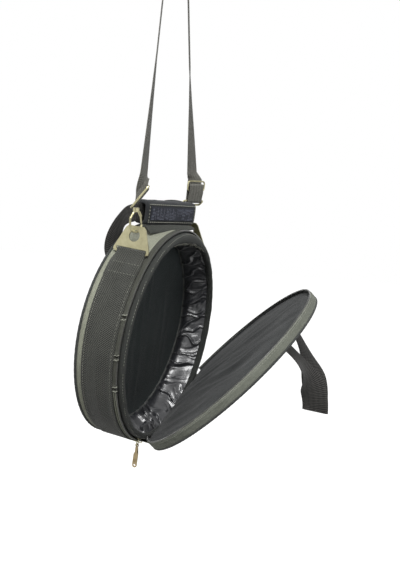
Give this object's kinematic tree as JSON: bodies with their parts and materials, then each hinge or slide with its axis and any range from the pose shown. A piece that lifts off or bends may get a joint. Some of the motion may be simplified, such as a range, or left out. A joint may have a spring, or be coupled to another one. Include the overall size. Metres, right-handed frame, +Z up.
{
  "type": "tambourine bag",
  "caption": "Round padded shoulder bag for a frame drum, hanging open from its strap, with a zipped hinged lid, snap hooks, triangle rings and carry handles.",
  "frame": {"origin": "underside of the flat run at the top of the shoulder strap, where it rests on a peg", "axes": "+Z up; the drum axis runs along Y and the mouth looks along -Y, tipped down by 6.3 degrees; +X is the right of somebody who looks into the mouth from -Y"},
  "size_m": [0.3092, 0.31, 0.7745],
  "materials": {
    "canvas_grey": "woven canvas, matt",
    "foam": "soft foam, matt",
    "board": "matt",
    "nylon_lining": "crinkled nylon, shiny",
    "matte_lining": "smooth lining, matt",
    "binding_black": "woven tape, matt",
    "zip_tape": "woven tape, matt",
    "webbing_charcoal": "herringbone webbing, matt",
    "strap_grey": "woven webbing, matt",
    "grip_padding": "padded nylon, matt",
    "hook_tape": "hook tape, rough",
    "nickel": "pale nickel, polished"
  },
  "bodies": {
    "strap": {"strap_webbing": "strap_grey", "strap_adjuster": "nickel", "eye_left": "nickel", "eye_right": "nickel"},
    "hook_left": {"hook_left": "nickel"},
    "hook_right": {"hook_right": "nickel"},
    "gate_left": {"gate_left": "nickel"},
    "gate_right": {"gate_right": "nickel"},
    "shell": {"side_band": "canvas_grey", "band_foam": "foam", "side_lining": "nylon_lining", "back_canvas": "canvas_grey", "back_stiffener": "board", "back_foam": "foam", "back_lining": "matte_lining", "lining_seam": "binding_black", "rear_piping": "binding_black", "body_zip_tape": "zip_tape", "zip_stop_left": "nickel", "zip_stop_right": "nickel", "lower_canvas": "canvas_grey", "lower_foam": "foam", "lower_lining": "matte_lining", "lower_band": "canvas_grey", "lower_piping": "binding_black", "hinge_fold": "canvas_grey", "side_webbing": "webbing_charcoal", "ring_left": "nickel", "ring_right": "nickel", "rear_patch_left": "webbing_charcoal", "rear_patch_right": "webbing_charcoal"},
    "lid": {"lid_canvas": "canvas_grey", "lid_foam": "foam", "lid_lining": "matte_lining", "lid_band": "canvas_grey", "lid_piping": "binding_black", "lid_zip_tape": "zip_tape", "lid_patch_left": "webbing_charcoal", "lid_patch_right": "webbing_charcoal"},
    "lid_handle": {"lid_handle": "webbing_charcoal"},
    "slider": {"zip_slider": "nickel"},
    "pull": {"pull_tab": "nickel"},
    "rear_handle": {"rear_handle": "webbing_charcoal", "grip_wrap": "grip_padding", "grip_hook_tape": "hook_tape"},
    "flap": {"grip_flap": "grip_padding"}
  },
  "joints": [
    {"name": "bag_swing", "type": "hinge", "parent": "strap", "child": "shell", "pos_m": [0, 0.006, -0.45], "axis": [1, 0, 0], "range_deg": [-15, 14]},
    {"name": "hook_left_swivel", "type": "hinge", "parent": "strap", "child": "hook_left", "pos_m": [-0.08827, 0.006, -0.45], "axis": [0, 0, 1], "range_deg": [0, 35]},
    {"name": "hook_right_swivel", "type": "hinge", "parent": "strap", "child": "hook_right", "pos_m": [0.08827, 0.006, -0.45], "axis": [0, 0, 1], "range_deg": [-35, 0]},
    {"name": "gate_left_pivot", "type": "hinge", "parent": "hook_left", "child": "gate_left", "pos_m": [-0.08302, 0.00233, -0.4288], "axis": [0.5736, 0.8192, 0], "range_deg": [0, 25], "stiffness_Nm_per_rad": 0.02, "springref_deg": -2.86},
    {"name": "gate_right_pivot", "type": "hinge", "parent": "hook_right", "child": "gate_right", "pos_m": [0.08302, 0.00233, -0.4288], "axis": [0.5736, -0.8192, 0], "range_deg": [0, 25], "stiffness_Nm_per_rad": 0.02, "springref_deg": -2.86},
    {"name": "lid_hinge", "type": "hinge", "parent": "shell", "child": "lid", "pos_m": [0.04022, -0.01215, -0.71387], "axis": [0.9426, -0.0366, 0.3318], "range_deg": [-42, 0]},
    {"name": "lid_handle_swing", "type": "hinge", "parent": "lid", "child": "lid_handle", "pos_m": [0.01841, -0.16897, -0.57667], "axis": [0.9714, 0.2131, 0.1048], "range_deg": [-40, 25]},
    {"name": "zip_slide", "type": "hinge", "parent": "shell", "child": "slider", "pos_m": [0, -0.00871, -0.59922], "axis": [0, 0.994, 0.1097], "range_deg": [-4, 276]},
    {"name": "pull_swing", "type": "hinge", "parent": "slider", "child": "pull", "pos_m": [-0.06349, 0.00657, -0.73769], "axis": [0, 0.994, 0.1097], "range_deg": [-50, 100]},
    {"name": "rear_handle_swing", "type": "hinge", "parent": "shell", "child": "rear_handle", "pos_m": [0, 0.046, -0.50062], "axis": [1, 0, 0], "range_deg": [-100, 0]},
    {"name": "grip_flap_fold", "type": "hinge", "parent": "rear_handle", "child": "flap", "pos_m": [-0.00118, -0.00495, -0.44085], "axis": [0.9659, -0.2573, -0.0284], "range_deg": [-70, 0]}
  ]
}
